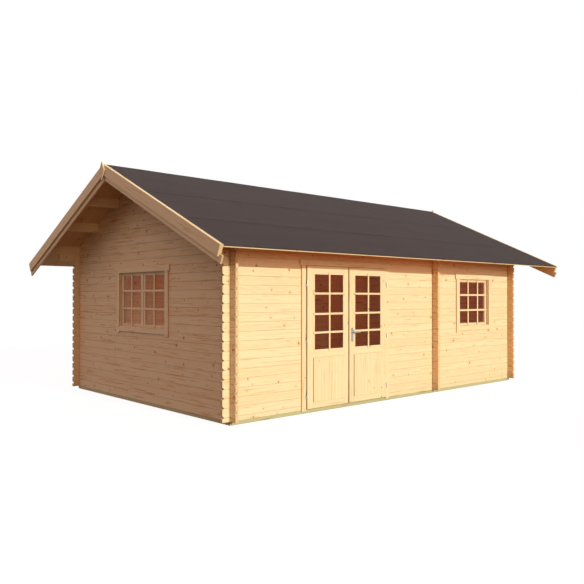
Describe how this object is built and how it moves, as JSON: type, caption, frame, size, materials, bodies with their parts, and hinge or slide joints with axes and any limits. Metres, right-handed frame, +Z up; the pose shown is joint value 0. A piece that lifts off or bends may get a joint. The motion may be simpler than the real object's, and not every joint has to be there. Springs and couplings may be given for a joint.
{
  "type": "log cabin",
  "caption": "Gabled log cabin with crossed corner logs, a glazed double door with a lever handle, casement windows, a partition wall and a felted roof.",
  "frame": {"origin": "on the ground at the centre of the plan", "axes": "+X along the front wall to the right as seen from the front, +Y from front to back, +Z up"},
  "size_m": [7.68, 5.5964, 3.4398],
  "materials": {
    "wall_logs": "planed, bare",
    "bearers": "sawn, impregnated",
    "floor_boards": "planed, bare",
    "roof_boards": "planed, bare",
    "verge_boards": "planed, bare",
    "roof_felt": "mineral grit",
    "joinery": "planed, bare",
    "glass": "clear",
    "hinge_steel": "zinc",
    "handle_steel": "satin"
  },
  "bodies": {
    "cabin": {"front_wall_left": "wall_logs", "front_wall_over_door": "wall_logs", "front_wall_right": "wall_logs", "back_wall": "wall_logs", "left_gable_wall": "wall_logs", "right_gable_wall": "wall_logs", "partition_front": "wall_logs", "partition_over_doorway": "wall_logs", "partition_back": "wall_logs", "purlins": "wall_logs", "long_bearers": "bearers", "cross_bearers": "bearers", "floor": "floor_boards", "front_roof_boards": "roof_boards", "back_roof_boards": "roof_boards", "eave_strips": "verge_boards", "front_verge_laths": "verge_boards", "back_verge_laths": "verge_boards", "front_barge_boards": "verge_boards", "back_barge_boards": "verge_boards", "front_lower_verge_boards": "verge_boards", "back_lower_verge_boards": "verge_boards", "ridge_diamonds": "verge_boards", "front_roof_felt": "roof_felt", "back_roof_felt": "roof_felt", "door_frame": "joinery", "door_casing": "joinery", "front_window_casing": "joinery", "front_window_frame": "joinery", "front_window_sash": "joinery", "gable_window_casing": "joinery", "gable_window_frame": "joinery", "gable_window_sash": "joinery", "front_window_glass": "glass", "gable_window_glass": "glass", "frame_hinge_halves": "hinge_steel"},
    "left_door": {"left_door_leaf": "joinery", "left_door_glass": "glass", "left_door_hinge_halves": "hinge_steel"},
    "right_door": {"right_door_leaf": "joinery", "right_door_glass": "glass", "right_door_hinge_halves": "hinge_steel", "door_cover_strip": "joinery", "handle_plates": "handle_steel"},
    "lever": {"door_lever": "handle_steel"}
  },
  "joints": [
    {"name": "left_door_swing", "type": "hinge", "parent": "cabin", "child": "left_door", "pos_m": [-1.975, -2.201, 0.982], "axis": [0, 0, -1], "range_deg": [0, 170]},
    {"name": "right_door_swing", "type": "hinge", "parent": "cabin", "child": "right_door", "pos_m": [-0.346, -2.201, 0.982], "axis": [0, 0, 1], "range_deg": [0, 170]},
    {"name": "lever_turn", "type": "hinge", "parent": "right_door", "child": "lever", "pos_m": [-1.1015, -2.173, 1.052], "axis": [0, 1, 0], "range_deg": [0, 45], "stiffness_Nm_per_rad": 2, "springref_deg": -17.19}
  ]
}
